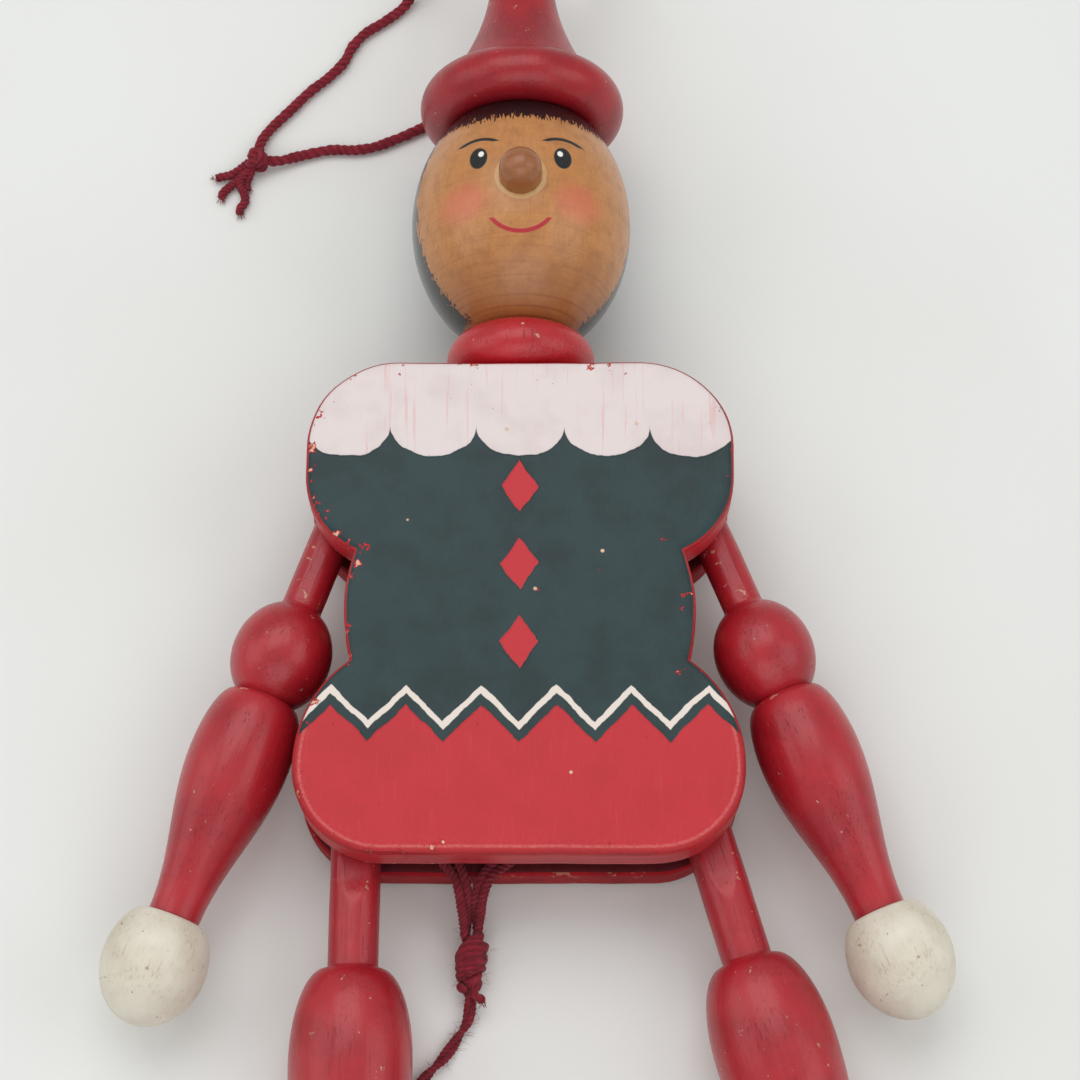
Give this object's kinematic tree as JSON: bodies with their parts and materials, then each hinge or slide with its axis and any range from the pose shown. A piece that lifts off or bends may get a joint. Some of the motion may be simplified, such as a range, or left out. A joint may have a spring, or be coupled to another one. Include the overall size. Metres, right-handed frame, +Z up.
{
  "type": "pull string jumping jack",
  "caption": "Wooden pull-string jumping jack lying on its back: turned arms and legs swing out between two painted body boards as the cord is drawn.",
  "frame": {"origin": "plan centre of the figure without its cords, on the surface that it lies on", "axes": "+Y towards the head, +X to the viewer's right, +Z up, out of the chest"},
  "size_m": [0.156, 0.3177, 0.0511],
  "materials": {
    "board_paint": "satin brushed paint with worn edges",
    "limb_paint": "semi-gloss paint over turned wood",
    "ring_paint": "semi-gloss paint",
    "hat_paint": "gloss paint",
    "head_varnish": "clear varnish",
    "hand_paint": "matt paint",
    "shoe_paint": "semi-gloss paint",
    "bare_wood": "bare",
    "pin_steel": "bright",
    "cord_yarn": "twisted yarn"
  },
  "bodies": {
    "torso": {"front_board": "board_paint", "back_board": "board_paint", "neck_block": "bare_wood", "waist_peg_left": "bare_wood", "waist_peg_right": "bare_wood", "neck_dowel": "bare_wood", "neck_ring": "ring_paint", "head": "head_varnish", "nose": "head_varnish", "hat": "hat_paint", "shoulder_pin_left": "pin_steel", "shoulder_pin_right": "pin_steel", "hip_pin_left": "pin_steel", "hip_pin_right": "pin_steel", "board_nails": "pin_steel", "hanging_loop": "cord_yarn", "loop_knot": "cord_yarn"},
    "arm_left": {"arm_stem_left": "limb_paint", "arm_left": "limb_paint", "hand_left": "hand_paint"},
    "arm_right": {"arm_stem_right": "limb_paint", "arm_right": "limb_paint", "hand_right": "hand_paint"},
    "leg_left": {"leg_stem_left": "limb_paint", "leg_left": "limb_paint", "shoe_left": "shoe_paint"},
    "leg_right": {"leg_stem_right": "limb_paint", "leg_right": "limb_paint", "shoe_right": "shoe_paint"},
    "arm_left_string": {"arm_string_left": "cord_yarn"},
    "arm_right_string": {"arm_string_right": "cord_yarn"},
    "leg_left_string": {"leg_string_left": "cord_yarn"},
    "leg_right_string": {"leg_string_right": "cord_yarn"},
    "pull_cord": {"string_ends": "cord_yarn", "gather_knot": "cord_yarn", "pull_cord": "cord_yarn", "pull_bead": "limb_paint", "bead_knot": "cord_yarn"}
  },
  "joints": [
    {"name": "shoulder_left", "type": "hinge", "parent": "torso", "child": "arm_left", "pos_m": [-0.03399, 0.01998, 0.01899], "axis": [0, 0.0598, -0.9982], "range_deg": [0, 81.8]},
    {"name": "shoulder_right", "type": "hinge", "parent": "torso", "child": "arm_right", "pos_m": [0.03081, 0.01998, 0.01899], "axis": [0, -0.0598, 0.9982], "range_deg": [0, 74.36]},
    {"name": "hip_left", "type": "hinge", "parent": "torso", "child": "leg_left", "pos_m": [-0.03189, -0.03492, 0.0157], "axis": [0, 0.0598, -0.9982], "range_deg": [0, 92.81]},
    {"name": "hip_right", "type": "hinge", "parent": "torso", "child": "leg_right", "pos_m": [0.02871, -0.03492, 0.0157], "axis": [0, -0.0598, 0.9982], "range_deg": [0, 66.97]},
    {"name": "arm_left_string_eye", "type": "hinge", "parent": "arm_left", "child": "arm_left_string", "pos_m": [-0.02961, 0.0322, 0.01972], "axis": [0, -0.0598, 0.9982], "range_deg": [-0.05, 76.38]},
    {"name": "arm_right_string_eye", "type": "hinge", "parent": "arm_right", "child": "arm_right_string", "pos_m": [0.02602, 0.03204, 0.01971], "axis": [0, -0.0598, 0.9982], "range_deg": [-69.11, 0.05]},
    {"name": "leg_left_string_eye", "type": "hinge", "parent": "leg_left", "child": "leg_left_string", "pos_m": [-0.03189, -0.02294, 0.01642], "axis": [0, -0.0598, 0.9982], "range_deg": [-0.05, 72.69]},
    {"name": "leg_right_string_eye", "type": "hinge", "parent": "leg_right", "child": "leg_right_string", "pos_m": [0.0254, -0.02341, 0.01639], "axis": [0, -0.0598, 0.9982], "range_deg": [-52.78, 0.05]},
    {"name": "pull", "type": "slide", "parent": "torso", "child": "pull_cord", "axis": [0, -1, 0], "range_m": [0, 0.0161]}
  ],
  "couplings": [
    {"joint": "shoulder_left", "follows": "hip_left", "ratio": 0.88116},
    {"joint": "shoulder_right", "follows": "hip_left", "ratio": 0.80099},
    {"joint": "hip_right", "follows": "hip_left", "ratio": 0.72137},
    {"joint": "arm_left_string_eye", "follows": "hip_left", "ratio": 0.82244},
    {"joint": "arm_right_string_eye", "follows": "hip_left", "ratio": -0.74413},
    {"joint": "leg_left_string_eye", "follows": "hip_left", "ratio": 0.78265},
    {"joint": "leg_right_string_eye", "follows": "hip_left", "ratio": -0.56819},
    {"joint": "pull", "follows": "hip_left", "m_per_rad": 0.009878}
  ]
}
